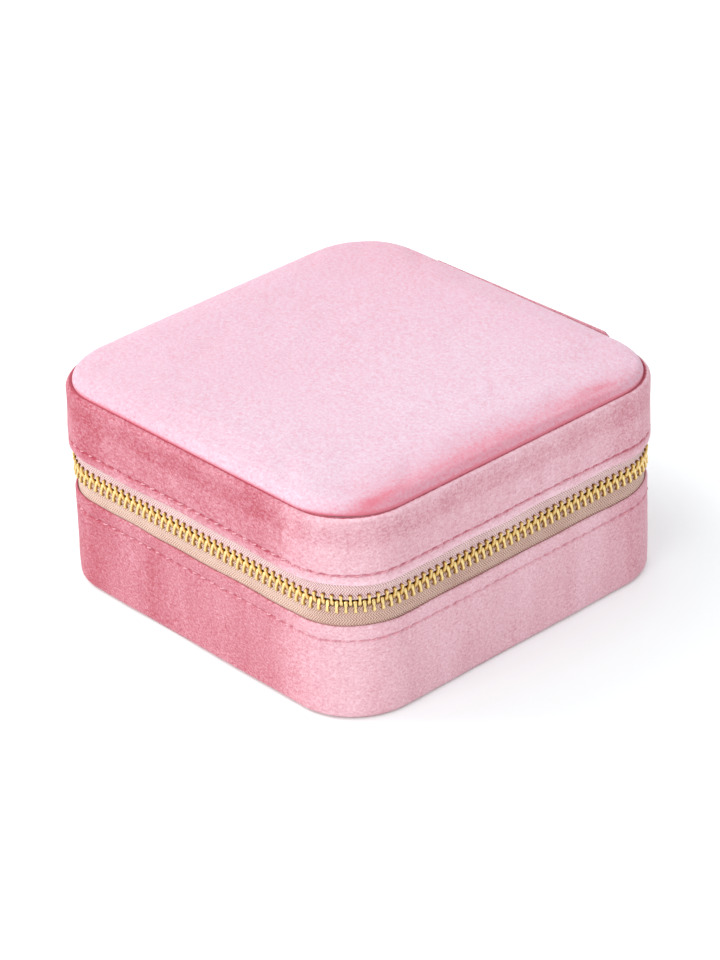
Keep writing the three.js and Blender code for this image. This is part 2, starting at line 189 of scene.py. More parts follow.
def piece(name, verts, faces, uvs=None, tone_and_shade=None, material=None):
    """A mesh object; uvs has one (u, v) per face corner, and the tone, with its painted light and shade, one
    number per vertex.
    """
    mesh = bpy.data.meshes.new(name)
    mesh.from_pydata([tuple(v) for v in verts], [], [tuple(f) for f in faces])
    if uvs is not None:
        layer = mesh.uv_layers.new(name="run")
        layer.data.foreach_set("uv", np.asarray(uvs, float).ravel())
    if tone_and_shade is not None:
        set_tone_and_shade(mesh, tone_and_shade)
    bm = bmesh.new()
    bm.from_mesh(mesh)
    bmesh.ops.recalc_face_normals(bm, faces=bm.faces)
    bm.to_mesh(mesh)
    bm.free()
    mesh.shade_smooth()
    made = bpy.data.objects.new(name, mesh)
    bpy.context.scene.collection.objects.link(made)
    if material is not None:
        mesh.materials.append(material)
    return made


def apply_modifiers(made):
    """Replaces an object's mesh by what its modifiers make of it, and returns that mesh."""
    graph = bpy.context.evaluated_depsgraph_get()
    mesh = bpy.data.meshes.new_from_object(made.evaluated_get(graph))
    made.modifiers.clear()
    made.data = mesh
    return mesh


def row_faces(turns, count, m, ends, height):
    """Quads between rows of m points round a section, and the (run, height) of their corners."""
    faces, uvs = [], []
    for i in range(turns):
        k = (i + 1) % count
        for j in range(m):
            q = (j + 1) % m
            faces.append((i * m + j, k * m + j, k * m + q, i * m + q))
            u0, u1, v0, v1 = ends[i], ends[i + 1], height[j], height[j + 1]
            uvs += [(u0, v0), (u1, v0), (u1, v1), (u0, v1)]
    return faces, uvs


def sweep(name, section, step, material, span=None, move=None, tone_and_shade=None):
    """Carries a closed section of (inset, z) points round the outline, or along span = (s0, s1).
    move(s, inset, z, points) gives (outward, upward) shifts; the tone function, given (s, inset, z, normals),
    gives the tone with its painted light and shade."""
    section = np.array(section, float)
    if span is None:
        p, n, run = outline(step)
        s, count = run[:-1], len(p)
        ends = run
    else:
        count = max(2, round((span[1] - span[0]) / step)) + 1
        s = np.linspace(span[0], span[1], count)
        p, n = at(s)
        ends = s
    m = len(section)
    inset = np.broadcast_to(section[:, 0], (count, m)).copy()
    z = np.broadcast_to(section[:, 1], (count, m)).copy()
    run_s = np.broadcast_to(s[:, None], (count, m))
    tone = None if tone_and_shade is None else np.broadcast_to(tone_and_shade(run_s, inset, z, n[:, None, :]), z.shape)
    if move is not None:
        where = np.concatenate([p[:, None, :] - n[:, None, :] * inset[..., None], z[..., None]], axis=2)
        out, rise = move(run_s, inset, z, where)
        inset -= out
        z += rise
    xy = p[:, None, :] - n[:, None, :] * inset[..., None]
    verts = np.concatenate([xy, z[..., None]], axis=2).reshape(-1, 3)
    girth = np.linalg.norm(np.roll(section, -1, axis=0) - section, axis=1)
    height = np.concatenate([[0], np.cumsum(girth)])
    faces, uvs = row_faces(count if span is None else count - 1, count, m, ends, height)
    if span is not None:
        for row, order in ((0, 1), (count - 1, -1)):
            faces.append([row * m + j for j in range(m)][::order])
            uvs += [(ends[row], 0)] * m
    return piece(name, verts, faces, uvs, tone, material)


def arc(cx, cz, radius, start, stop, count):
    """Points (inset, z) on an arc, in degrees; 0 points inwards and 90 points up."""
    angles = np.radians(np.linspace(start, stop, count))
    return [(cx + radius * math.cos(a), cz + radius * math.sin(a)) for a in angles]


def column(inset, z0, z1, step):
    """Points straight up or down at one inset, without its two ends."""
    count = max(2, round(abs(z1 - z0) / step))
    return [(inset, z) for z in np.linspace(z0, z1, count + 1)[1:-1]]


# ---------------------------------------------------------------- node helpers
class Nodes:
    """A material and short ways to add nodes to it."""

    def __init__(self, name):
        self.material = bpy.data.materials.new(name)
        self.material.use_nodes = True
        self.tree = self.material.node_tree
        self.shader = self.tree.nodes["Principled BSDF"]

    def add(self, kind, inputs=None, **settings):
        """A node of a kind, with its settings and the values or links of its inputs."""
        node = self.tree.nodes.new(kind)
        for key, value in settings.items():
            setattr(node, key, value)
        for key, value in (inputs or {}).items():
            self.put(node.inputs[key], value)
        return node

    def put(self, socket, value):
        if isinstance(value, bpy.types.NodeSocket):
            self.tree.links.new(value, socket)
        else:
            socket.default_value = value

    def set(self, **values):
        """Sets inputs of the surface shader, named with _ for each space."""
        for key, value in values.items():
            self.put(self.shader.inputs[key.replace("_", " ")], value)

    def math(self, operation, a, b=0.0, c=0.0, clamp=False):
        node = self.add("ShaderNodeMath", operation=operation, use_clamp=clamp)
        for socket, value in zip(node.inputs, (a, b, c)):
            self.put(socket, value)
        return node.outputs[0]

    def scaled(self, vector, x, y, z):
        node = self.add("ShaderNodeVectorMath", operation="MULTIPLY")
        self.put(node.inputs[0], vector)
        node.inputs[1].default_value = (x, y, z)
        return node.outputs[0]

    def noise(self, vector, scale, detail=2.0, roughness=0.5, distortion=0.0):
        return self.add("ShaderNodeTexNoise", {
            "Vector": vector, "Scale": scale, "Detail": detail,
            "Roughness": roughness, "Distortion": distortion,
        }).outputs["Fac"]

    def ramp(self, factor, *stops):
        node = self.add("ShaderNodeValToRGB", {"Fac": factor})
        while len(node.color_ramp.elements) < len(stops):
            node.color_ramp.elements.new(0.5)
        for element, (position, color) in zip(node.color_ramp.elements, stops):
            element.position = position
            element.color = color
        return node.outputs["Color"]

    def bump(self, height, strength, distance, normal=None):
        inputs = {"Height": height, "Strength": strength, "Distance": distance}
        if normal is not None:
            inputs["Normal"] = normal
        return self.add("ShaderNodeBump", inputs).outputs["Normal"]

    def position(self):
        return self.add("ShaderNodeTexCoord").outputs["Object"]

    def run(self):
        return self.add("ShaderNodeUVMap", uv_map="run").outputs["UV"]

    def tone_and_shade(self):
        return self.add("ShaderNodeAttribute", attribute_name="tone_and_shade").outputs["Fac"]


# ---------------------------------------------------------------- materials
def velvet(name, deep, middle, pale, grain, mottle, streaks=0.0, sheen=0.35):
    """Short-pile velvet: a per-vertex tone, which carries painted light and shade, sets the colour, with brushed
    marks, streaks and pile grain.
    The grain is given for the darkest and for the palest tone."""
    m = Nodes(name)
    here = m.position()
    tone_and_shade = m.tone_and_shade()
    marks = m.noise(here, 150, 4, 0.6, 0.6)
    patches = m.noise(m.scaled(here, 1, 1, 0.6), 45, 3, 0.55, 0.3)
    pile = m.noise(here, 2600, 2, 0.6)
    speck = m.noise(m.scaled(here, 0.7, 0.7, 1.2), 1700, 2, 0.6)
    unevenness = m.math("MULTIPLY", m.math("SUBTRACT", 1.15, tone_and_shade), mottle)  # marks fade where the painted tone is pale
    tone = m.math("MULTIPLY", m.math("MULTIPLY", m.math("SUBTRACT", marks, 0.5), 0.5), unevenness)
    tone = m.math("ADD", tone, m.math("MULTIPLY", m.math("SUBTRACT", patches, 0.5), unevenness))
    if streaks:
        wales = m.noise(m.scaled(here, 1, 1, 0.12), 170, 2, 0.5, 0.2)
        tone = m.math("ADD", tone, m.math("MULTIPLY", m.math("SUBTRACT", wales, 0.5), streaks))
    depth = m.math("ADD", grain[0], m.math("MULTIPLY", tone_and_shade, grain[1] - grain[0]))
    tips = m.math("SUBTRACT", m.math("ADD", pile, speck), 1.0)
    tone = m.math("ADD", tone, m.math("MULTIPLY", tips, depth))
    tone = m.math("ADD", tone, tone_and_shade, clamp=True)
    height = m.math("ADD", m.math("MULTIPLY", pile, 0.6), m.math("MULTIPLY", speck, 0.7))
    height = m.math("ADD", height, m.math("MULTIPLY", marks, 0.8))
    m.set(
        Base_Color=m.ramp(tone, (0.0, deep), (0.4, middle), (1.0, pale)),
        Roughness=0.95,
        Specular_IOR_Level=0.12,
        Sheen_Weight=sheen,
        Sheen_Roughness=0.42,
        Sheen_Tint=(1.0, 0.8, 0.87, 1),
        Normal=m.bump(height, 0.55, 0.18 * MM),
    )
    return m.material


def woven_tape(name, dark, light):
    """Herringbone zip tape: chevrons along the tape, from its run (u) and height (v)."""
    m = Nodes(name)
    split = m.add("ShaderNodeSeparateXYZ", {"Vector": m.run()})
    column_width, rib = 0.9 * MM, 0.65 * MM
    zigzag = m.math("PINGPONG", split.outputs["Y"], column_width)
    phase = m.math("ADD", m.math("DIVIDE", split.outputs["X"], rib), m.math("DIVIDE", zigzag, rib))
    ribs = m.math("SINE", m.math("MULTIPLY", phase, 2 * math.pi))
    ribs = m.math("MULTIPLY_ADD", ribs, 0.5, 0.5)
    fuzz = m.noise(m.position(), 1800, 3, 0.7)
    soil = m.noise(m.position(), 120, 3, 0.6)
    tone = m.math("ADD", m.math("MULTIPLY", ribs, 0.7), m.math("MULTIPLY", fuzz, 0.25))
    tone = m.math("ADD", tone, m.math("MULTIPLY", m.math("SUBTRACT", soil, 0.45), 0.35))
    # the tone attribute adds painted light and shade on the tape's +X side
    tone = m.math("ADD", tone, m.math("SUBTRACT", m.tone_and_shade(), 0.5), clamp=True)
    m.set(
        Base_Color=m.ramp(tone, (0.1, dark), (0.9, light)),
        Roughness=0.85,
        Sheen_Weight=0.2,
        Sheen_Roughness=0.5,
        Normal=m.bump(tone, 0.9, 0.2 * MM),
    )
    return m.material


def sewing_thread(name, dark, light):
    """Twisted thread: slanting plies and a soft shine."""
    m = Nodes(name)
    split = m.add("ShaderNodeSeparateXYZ", {"Vector": m.position()})
    slant = m.math("ADD", m.math("ADD", split.outputs["X"], split.outputs["Y"]), split.outputs["Z"])
    ply = 0.35 * MM
    plies = m.math("SINE", m.math("MULTIPLY", slant, 2 * math.pi / ply))
    fuzz = m.noise(m.position(), 2500, 2, 0.6)
    tone = m.math("ADD", m.math("MULTIPLY", plies, 0.25), fuzz, clamp=True)
    m.set(
        Base_Color=m.ramp(tone, (0.2, dark), (0.8, light)),
        Roughness=0.5,
        Sheen_Weight=0.3,
        Normal=m.bump(tone, 0.5, 0.05 * MM),
    )
    return m.material


def plated(name, color, worn, roughness, shade_color=None):
    """Light gold plating with fine polishing marks and duller patches, and for the teeth a dark colour that paints
    shade on their sides and roots.
    """
    m = Nodes(name)
    here = m.position()
    patches = m.noise(here, 700, 3, 0.6)
    scratches = m.noise(m.scaled(here, 1, 1, 7), 900, 3, 0.7)
    tone = m.math("ADD", m.math("MULTIPLY", patches, 0.7), m.math("MULTIPLY", scratches, 0.3))
    rough = m.math("ADD", m.math("MULTIPLY", tone, 0.3), roughness - 0.1)
    if shade_color is not None:  # the teeth's tone attribute is low on their sides and roots; there the dark colour is painted shade
        tone = m.math("ADD", m.math("MULTIPLY", tone, 0.5), m.math("SUBTRACT", m.tone_and_shade(), 0.4), clamp=True)
        stops = ((0.0, shade_color), (0.45, worn), (0.8, color))
    else:
        stops = ((0.3, worn), (0.7, color))
    m.set(
        Base_Color=m.ramp(tone, *stops),
        Metallic=1.0,
        Roughness=rough,
        Normal=m.bump(scratches, 0.12, 0.03 * MM),
    )
    return m.material


def silvered(name):
    """Mirror glass with faint haze."""
    m = Nodes(name)
    haze = m.noise(m.position(), 60, 4, 0.6)
    m.set(
        Base_Color=m.ramp(haze, (0.3, (0.86, 0.88, 0.89, 1)), (0.7, (0.92, 0.93, 0.94, 1))),
        Metallic=1.0,
        Roughness=m.math("MULTIPLY", haze, 0.05),
        Coat_Weight=0.5,
        Coat_Roughness=0.02,
    )
    return m.material


def card(name, dark, light):
    """Plain grey board or foam: fibres and small pits."""
    m = Nodes(name)
    fibres = m.noise(m.scaled(m.position(), 1, 1, 3), 400, 4, 0.7)
    m.set(
        Base_Color=m.ramp(fibres, (0.3, dark), (0.7, light)),
        Roughness=0.9,
        Normal=m.bump(fibres, 0.4, 0.15 * MM),
    )
    return m.material


def plain_floor(name):
    """White paper with a hardly visible change of tone."""
    m = Nodes(name)
    soft = m.noise(m.position(), 3, 2, 0.5)
    m.set(
        Base_Color=m.ramp(soft, (0.0, (0.80, 0.85, 0.85, 1)), (1.0, (0.815, 0.865, 0.86, 1))),
        Roughness=0.9,
        Specular_IOR_Level=0.0,
        Emission_Color=(1, 1, 1, 1),
        Emission_Strength=0.17,
    )
    return m.material


side_velvet = velvet(
    "side_velvet", linear(166, 68, 83), linear(196, 130, 142), linear(238, 204, 214),
    grain=(0.85, 0.42), mottle=0.42, streaks=0.22,
)
# the padded top's velvet: the cloth's own pink, made paler and more lavender as painted sheen of the light on the
# top
top_velvet_painted_sheen = velvet(
    "top_velvet_painted_sheen", linear(212, 122, 138), linear(212, 168, 183), linear(218, 200, 213),
    grain=(0.2, 1.45), mottle=0.3, sheen=0.33,
)
lining_velvet = velvet(
    "lining_velvet", linear(186, 118, 132), linear(214, 158, 170), linear(232, 190, 198),
    grain=(0.32, 0.21), mottle=0.45,
)
upper_tape = woven_tape("upper_tape", linear(182, 132, 134), linear(252, 224, 220))
lower_tape = woven_tape("lower_tape", linear(168, 124, 112), linear(240, 210, 190))
thread = sewing_thread("thread", linear(190, 112, 126), linear(238, 178, 188))
gold = plated("gold", linear(238, 210, 146), linear(216, 178, 106), 0.28, shade_color=linear(116, 80, 38))
fitting_gold = plated("fitting_gold", linear(240, 214, 150), linear(216, 182, 112), 0.2)
mirror = silvered("mirror")
greyboard = card("greyboard", linear(150, 138, 122), linear(186, 174, 156))
open_foam = card("open_foam", linear(214, 206, 190), linear(240, 234, 222))


# ---------------------------------------------------------------- side bands
def side_light_and_shade(s, normals):
    """Painted light and shade on the bands, by the way they face: deep on the front and back, paler round the
    corner next to the +X side and on that side, a little deeper on the -X side and darker towards the far ends.
    """
    nx, ny = normals[..., 0], normals[..., 1]
    p, _ = at(s)
    along = np.where(np.abs(ny) > 0.5, -p[..., 0] * np.sign(ny), 0)
    turn = smooth(np.abs(nx), 0.02, 0.5)
    facing = 0.28 + np.where(nx > 0, 0.40, -0.06) * turn + 0.26 * smooth(along, 0.024, 0.037) * (1 - turn)
    facing -= 0.12 * smooth(-along, 0.02, 0.036) * (1 - turn)
    return facing - 0.12 * turn * smooth(np.sign(nx) * p[..., 1], 0.022, 0.038)


def stitch_wave(s):
    """1 at each needle hole of a seam and 0 midway between two holes."""
    return 0.5 + 0.5 * np.cos(2 * math.pi * (s - STITCH_START) / STITCH_PITCH)


def band_light_and_shade(stitch_z, lip_z, edge_light_and_shade, lip_highlight, seam_shade, hole_shade):
    """Tone of a band: a painted highlight on its lip, painted shade in its stitched seam and needle holes, then
    the painted light and shade of its edge.
    """
    def tone(s, inset, z, normals):
        nx = normals[..., 0]
        value = side_light_and_shade(s, normals)
        # painted highlight on the rolled lip
        value = value + lip_highlight * (1 - smooth(np.abs(z - lip_z), 0.2 * MM, abs(stitch_z - lip_z)))
        # painted shade in the stitched groove, deeper at each needle hole and on the +X side
        groove_shade = (seam_shade + hole_shade * stitch_wave(s)) * (0.6 + 0.4 * smooth(nx, 0.02, 0.5))
        value = value - groove_shade * (1 - smooth(np.abs(z - stitch_z), 0.06 * MM, 0.32 * MM))
        return edge_light_and_shade(value, inset, z, nx)
    return tone


def base_lip_shade(value, inset, z, nx):
    """Painted shade inside the base's lip, beside the tape."""
    return value - 0.7 * smooth(inset, 0.55 * MM, 0.95 * MM)


def lid_edge_light_and_shade(value, inset, z, nx):
    """A slightly darker belt under the lid's shoulder, painted sheen on the rim of the +X side and painted shade
    in the crease beside the pad.
    """
    value = value - 0.10 * (1 - smooth(np.abs(z - (SEAM - 4 * MM)), 1 * MM, 3.5 * MM))
    rim = z > SEAM - 2 * MM
    # painted sheen on the rim of the +X side
    value = value + 0.14 * smooth(nx, 0.2, 0.8) * smooth(inset, 0.1 * MM, 0.5 * MM) * rim
    # painted shade in the crease beside the pad, deeper on the +X side
    crease = 0.6 + 0.3 * smooth(nx, 0.02, 0.5)
    return value - crease * smooth(inset, 0.9 * MM, 1.25 * MM) * rim


def band_relief(stitch_z, seed, shy=0.0):
    """Shifts of a band's cloth: slow unevenness, puckers along the stitching and a soft lip."""
    def move(s, inset, z, where):
        outer = 1 - smooth(inset, 0.2 * MM, 1.0 * MM)
        out = -shy + 0.10 * MM * hills(where, 14 * MM, seed) + 0.035 * MM * hills(where, 3.5 * MM, seed + 1)
        near = 1 - smooth(np.abs(z - stitch_z), 0.15 * MM, 0.75 * MM)
        pucker = 0.10 + 0.90 * stitch_wave(s)
        out = out - 0.34 * MM * near * pucker * outer
        rise = 0.10 * MM * hills(where, 9 * MM, seed + 2)
        rim = smooth(z, SEAM - 0.8 * MM, SEAM - 0.1 * MM)
        ruffle = 0.07 * MM * hills(where, 1.6 * MM, seed + 3) + 0.05 * MM * hills(where, 5 * MM, seed + 4)
        rise = rise + rim * ruffle
        return out * outer, rise * (1 - smooth(np.abs(z - (LIP_LOW + LIP_HIGH) / 2), 5 * MM, 9 * MM))
    return move


def base_band():
    """The base's velvet, from under its foot to the inside of its turned lip."""
    foot, lip = 1.1 * MM, THICK / 2
    low = base_lo.z
    section = arc(foot, low + foot, foot, 270, 180, 6)
    section += column(0, low + foot, LIP_LOW - lip, BAND_RISE)
    section += arc(lip, LIP_LOW - lip, lip, 180, 90, 6)
    section += [(THICK - 0.12 * MM, LIP_LOW - 0.02 * MM), (THICK, LIP_LOW - 0.15 * MM)]
    section += column(THICK, LIP_LOW - 2 * lip, low + foot, BAND_BACK)
    section.append((THICK + 0.4 * MM, low + 0.1 * MM))
    tone_and_shade = band_light_and_shade(BASE_STITCH_Z, LIP_LOW, base_lip_shade, lip_highlight=0.02, seam_shade=0.2, hole_shade=0.16)
    made = sweep("base_velvet_band", section, BAND_STEP, side_velvet,
                 move=band_relief(BASE_STITCH_Z, 11, BASE_SHY), tone_and_shade=tone_and_shade)
    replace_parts(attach(made, "base"), "base_side_velvet")


def lid_band():
    """The lid's velvet, from the inside of its turned lip to the ledge under the pad's crease."""
    shoulder, lip = 1.25 * MM, THICK / 2
    ledge = 2.4 * MM
    section = column(THICK, SEAM - 3 * MM, LIP_HIGH + lip, BAND_BACK)
    section += arc(lip, LIP_HIGH + lip, lip, 360, 180, 9)
    section += column(0, LIP_HIGH + lip, SEAM - shoulder, BAND_RISE)
    section += arc(shoulder, SEAM - shoulder, shoulder, 180, 80, 8)
    section += [(1.5 * MM, SEAM - 0.05 * MM), (ledge, SEAM - 0.08 * MM), (ledge, SEAM - 1.4 * MM)]
    tone_and_shade = band_light_and_shade(LID_STITCH_Z, LIP_HIGH, lid_edge_light_and_shade, lip_highlight=0.17, seam_shade=0.42, hole_shade=0.2)
    made = sweep("lid_velvet_band", section, BAND_STEP, side_velvet,
                 move=band_relief(LID_STITCH_Z, 21), tone_and_shade=tone_and_shade)
    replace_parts(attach(made, "lid"), "lid_side_velvet")


# ---------------------------------------------------------------- padded top
def square_rings(insets):
    """Points of nested rounded squares whose quads make one even sheet: ring k has 8 k points."""
    rings = [np.zeros((1, 2))]
    for k, inset in enumerate(insets[1:], 1):
        half = HALF - inset
        radius = half * (PAD_CORNER - PAD_EDGE) / (HALF - PAD_EDGE)
        straight = half - radius
        whole = 8 * straight + 2 * math.pi * radius
        pts = []
        for i in range(8 * k):
            s = (i - k) * whole / (8 * k) % whole  # ring k starts at a corner of the sheet
            pts.append(square_point(s, straight, radius))
        rings.append(np.array(pts))
    return rings


def square_point(s, straight, radius):
    """Point at distance s anticlockwise from the middle of the right side of a rounded square."""
    quarter = 2 * straight + math.pi * radius / 2
    side, rest = divmod(s, quarter)
    if rest <= straight:
        x, y = straight + radius, rest
    elif rest <= straight + math.pi * radius / 2:
        a = (rest - straight) / radius
        x, y = straight + radius * math.cos(a), straight + radius * math.sin(a)
    else:
        x, y = 2 * straight + math.pi * radius / 2 - rest, straight + radius
    for _ in range(int(side) % 4):
        x, y = -y, x
    return x, y


def sheet_faces(count):
    """Quads of the nested rings, as on a grid of 2 count by 2 count cells."""
    index = {(0, 0): 0}
    total = 1
    for k in range(1, count + 1):
        walk = [(k, j) for j in range(-k, k)] + [(j, k) for j in range(k, -k, -1)]
        walk += [(-k, j) for j in range(k, -k, -1)] + [(j, -k) for j in range(-k, k)]
        for cell in walk:
            index[cell] = total
            total += 1
    faces = []
    for i in range(-count, count):
        for j in range(-count, count):
            faces.append([index[c] for c in ((i, j), (i + 1, j), (i + 1, j + 1), (i, j + 1))])
    return faces, total


def cloth_settle(made, pinned, pressure, frames, most):
    """Inflates a pinned sheet by cloth simulation, keeps each point within most of where it was."""
    start = np.array([v.co for v in made.data.vertices])
    group = made.vertex_groups.new(name="pinned")
    group.add([int(i) for i in pinned], 1.0, "REPLACE")
    cloth = made.modifiers.new("cloth", "CLOTH")
    cloth.settings.quality = 6
    cloth.settings.mass = 0.15
    cloth.settings.tension_stiffness = 25
    cloth.settings.compression_stiffness = 25
    cloth.settings.bending_stiffness = 0.8
    cloth.settings.use_pressure = True
    cloth.settings.uniform_pressure_force = pressure
    cloth.settings.vertex_group_mass = "pinned"
    cloth.settings.effector_weights.gravity = 0
    cloth.point_cache.frame_start = 1
    cloth.point_cache.frame_end = frames
    for step in range(1, frames + 1):
        bpy.context.scene.frame_set(step)
    graph = bpy.context.evaluated_depsgraph_get()
    moved = np.array([v.co for v in made.evaluated_get(graph).data.vertices])
    made.modifiers.remove(cloth)
    made.vertex_groups.remove(group)
    bpy.context.scene.frame_set(1)
    shift = moved - start
    far = np.linalg.norm(shift, axis=1, keepdims=True)
    shift *= np.minimum(1, most / np.maximum(far, 1e-9))
    made.data.vertices.foreach_set("co", (start + shift).ravel())
    made.data.update()


def pad_points():
    """Points of the padded top: a low dome, and an edge that rolls over and tucks in."""
    turn = np.radians(np.linspace(90, -25, PAD_ROLL_RINGS + 1))  # round the roll, from its top to its foot
    insets = np.linspace(HALF, PAD_EDGE + PAD_ROLL, PAD_RINGS - PAD_ROLL_RINGS + 1)
    width = np.where(turn[1:] > 0, PAD_ROLL, PAD_TUCK)
    insets = np.append(insets, PAD_EDGE + (1 - np.cos(turn[1:])) * width)
    rise = np.append(np.ones(PAD_RINGS - PAD_ROLL_RINGS), np.sin(turn))
    verts = []
    for ring, inset, up in zip(square_rings(insets), insets, rise):
        dome = 0.35 * MM * (1 - (1 - min(inset / HALF, 1)) ** 2)
        for x, y in ring:
            corner = float(smooth(min(abs(x), abs(y)) / HALF, 0.35, 0.85))
            fuller = max(0, (y - x) / (2 * HALF)) ** 1.5  # the filling sits a little towards the back left
            height = CROWN - SEAM - 0.45 * MM - 0.35 * MM * corner + 1.5 * MM * fuller
            above = (height + dome) * up if up > 0 else 0.9 * MM * up
            verts.append((x, y, SEAM + 0.25 * MM + above))
    return np.array(verts)


def pad_light_and_shade(co, normals):
    """Tone of the padded top: pale, paler towards +X, with painted light that falls off towards the back, and
    painted shade on its +X roll, in a wide band inside that roll, on its front roll and at its foot.
    """
    x, y, z = co.T
    tone_and_shade = 0.54 + 0.17 * smooth(x, -0.04, 0.04) - 0.12 * smooth(y, 0.01, 0.05)
    roll_shade = 0.24 * smooth(normals[:, 0], 0.04, 0.55) + 0.26 * smooth(x, HALF - 8 * MM, HALF - 2 * MM)
    inset, back = HALF - x, smooth(y, -0.03, 0.03)
    start, reach = 4.5 * MM, (17.5 - 7 * back) * MM  # the band of painted shade is wider towards the front
    band = smooth(inset, 2 * MM, 4 * MM) * (1 - smooth((inset - start) / (reach - start), 0, 1))
    roll_shade += (0.28 - 0.12 * back) * band * smooth(y, -0.046, -0.038)
    tone_and_shade -= (1 - 0.6 * smooth(y, 0.022, 0.042)) * roll_shade
    tone_and_shade -= 0.13 * smooth(-normals[:, 1], 0.2, 0.95)
    return tone_and_shade - 0.55 * (1 - smooth(z, SEAM - 0.1 * MM, SEAM + 1.0 * MM))


def top_pad():
    """The padded top: its cloth settles over the filling, then gets its unevenness and thickness."""
    faces, total = sheet_faces(PAD_RINGS)
    pad = piece("lid_velvet_pad", pad_points(), faces, material=top_velvet_painted_sheen)
    pinned = sum(8 * (PAD_RINGS - k) for k in range(PAD_PINNED_RINGS))
    cloth_settle(pad, range(total - pinned, total), pressure=2.0, frames=20, most=0.4 * MM)
    level = pad.modifiers.new("fine", "SUBSURF")
    level.levels = level.render_levels = 1
    fine = apply_modifiers(pad)
    co = np.array([v.co for v in fine.vertices])
    depth = HALF - np.max(np.abs(co[:, :2]), axis=1)
    inside = smooth(depth, 2 * MM, 6 * MM)
    co[:, 2] += inside * (0.10 * MM * hills(co, 22 * MM, 31) + 0.03 * MM * hills(co, 4 * MM, 32))
    fine.vertices.foreach_set("co", co.ravel())
    set_tone_and_shade(fine, pad_light_and_shade(co, np.array([v.normal for v in fine.vertices])))
    fine.shade_smooth()
    thick = pad.modifiers.new("cloth_thickness", "SOLIDIFY")
    thick.thickness = 0.8 * MM
    thick.offset = -1
    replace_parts(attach(pad, "lid"), "lid_top_velvet")


# ---------------------------------------------------------------- zip
def tape_section(side):
    """Tape hanging from under a lip towards the teeth, with a bead that the teeth grip."""
    lip = LIP_HIGH if side > 0 else LIP_LOW
    hidden_end = lip + side * 4 * MM
    bead_z = ZIP_Z + side * BEAD_Z
    flat_end = bead_z + side * 0.9 * MM
    middle = TAPE_INSET + TAPE_THICK / 2
    front = [(TAPE_INSET, hidden_end + (flat_end - hidden_end) * t) for t in np.linspace(0, 1, 9)]
    bead = [(middle - BEAD_RADIUS * math.cos(a), bead_z - side * BEAD_RADIUS * math.sin(a))
            for a in np.radians(np.linspace(-50, 230, 11))]
    back = [(TAPE_INSET + TAPE_THICK, z) for _, z in front[::-1]]
    return front + bead + back


def tape_relief(s, inset, z, where):
    """The tape's slight unevenness."""
    return 0.03 * MM * hills(where, 6 * MM, 41), 0


def tape_side_light(turned):
    """Tone of a tape, shifted on the +X side by painted light: paler for the upper tape, darker as painted shade
    for the lower.
    """
    return lambda s, inset, z, normals: 0.5 + turned * smooth(normals[..., 0], 0.02, 0.5)


def zip_tapes():
    """Both tapes, whose ends hide under the hinge strip."""
    span = (STRIP - 2 * MM, WHOLE - STRIP + 2 * MM)
    # the last number of each row is the painted light on the tape's +X side; below zero it is painted shade
    for name, side, body, cloth, turned in (("upper", 1, "lid", upper_tape, 0.06),
                                            ("lower", -1, "base", lower_tape, -0.12)):
        made = sweep(f"zip_tape_cloth_{name}", tape_section(side), 0.8 * MM, cloth,
                     span=span, move=tape_relief, tone_and_shade=tape_side_light(turned))
        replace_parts(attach(made, body), f"zip_tape_{name}")


def tooth_shape():
    """One tooth, as rings from the head's tip to the feet of the legs that grip the bead.
    Across the row is x, outwards is y and z runs away from the parting plane."""
    levels = [  # z, half width and half depth, in millimetres
        (-0.62, 0.26, 0.50), (-0.46, 0.44, 0.72), (0.10, 0.46, 0.80), (0.42, 0.45, 0.90), (0.72, 0.30, 0.98),
        (1.00, 0.30, 1.06), (1.35, 0.38, 1.14), (1.80, 0.42, 1.18), (2.00, 0.38, 1.10), (2.12, 0.24, 0.90),
    ]
    corners = [(1, 0.62), (0.72, 1), (-0.72, 1), (-1, 0.62), (-1, -0.62), (-0.72, -1), (0.72, -1), (1, -0.62)]
    m = len(corners)
    verts = [(a * w, b * d, z) for z, w, d in levels for a, b in corners]
    faces = [list(range(m))[::-1], [(len(levels) - 1) * m + k for k in range(m)]]
    for row in range(len(levels) - 1):
        for k in range(m):
            q = (k + 1) % m
            faces.append([row * m + k, row * m + q, (row + 1) * m + q, (row + 1) * m + k])
    # painted shade: darker on the tooth's sides, towards the feet on the bead and on its inner face
    shade = [0.4 + 0.6 * (abs(b) == 1) - 0.45 * float(smooth(z, 1.6, 2.1)) - 0.2 * (b < 0)
             for z, _, _ in levels for _, b in corners]
    return np.array(verts) * MM, faces, np.array(shade)


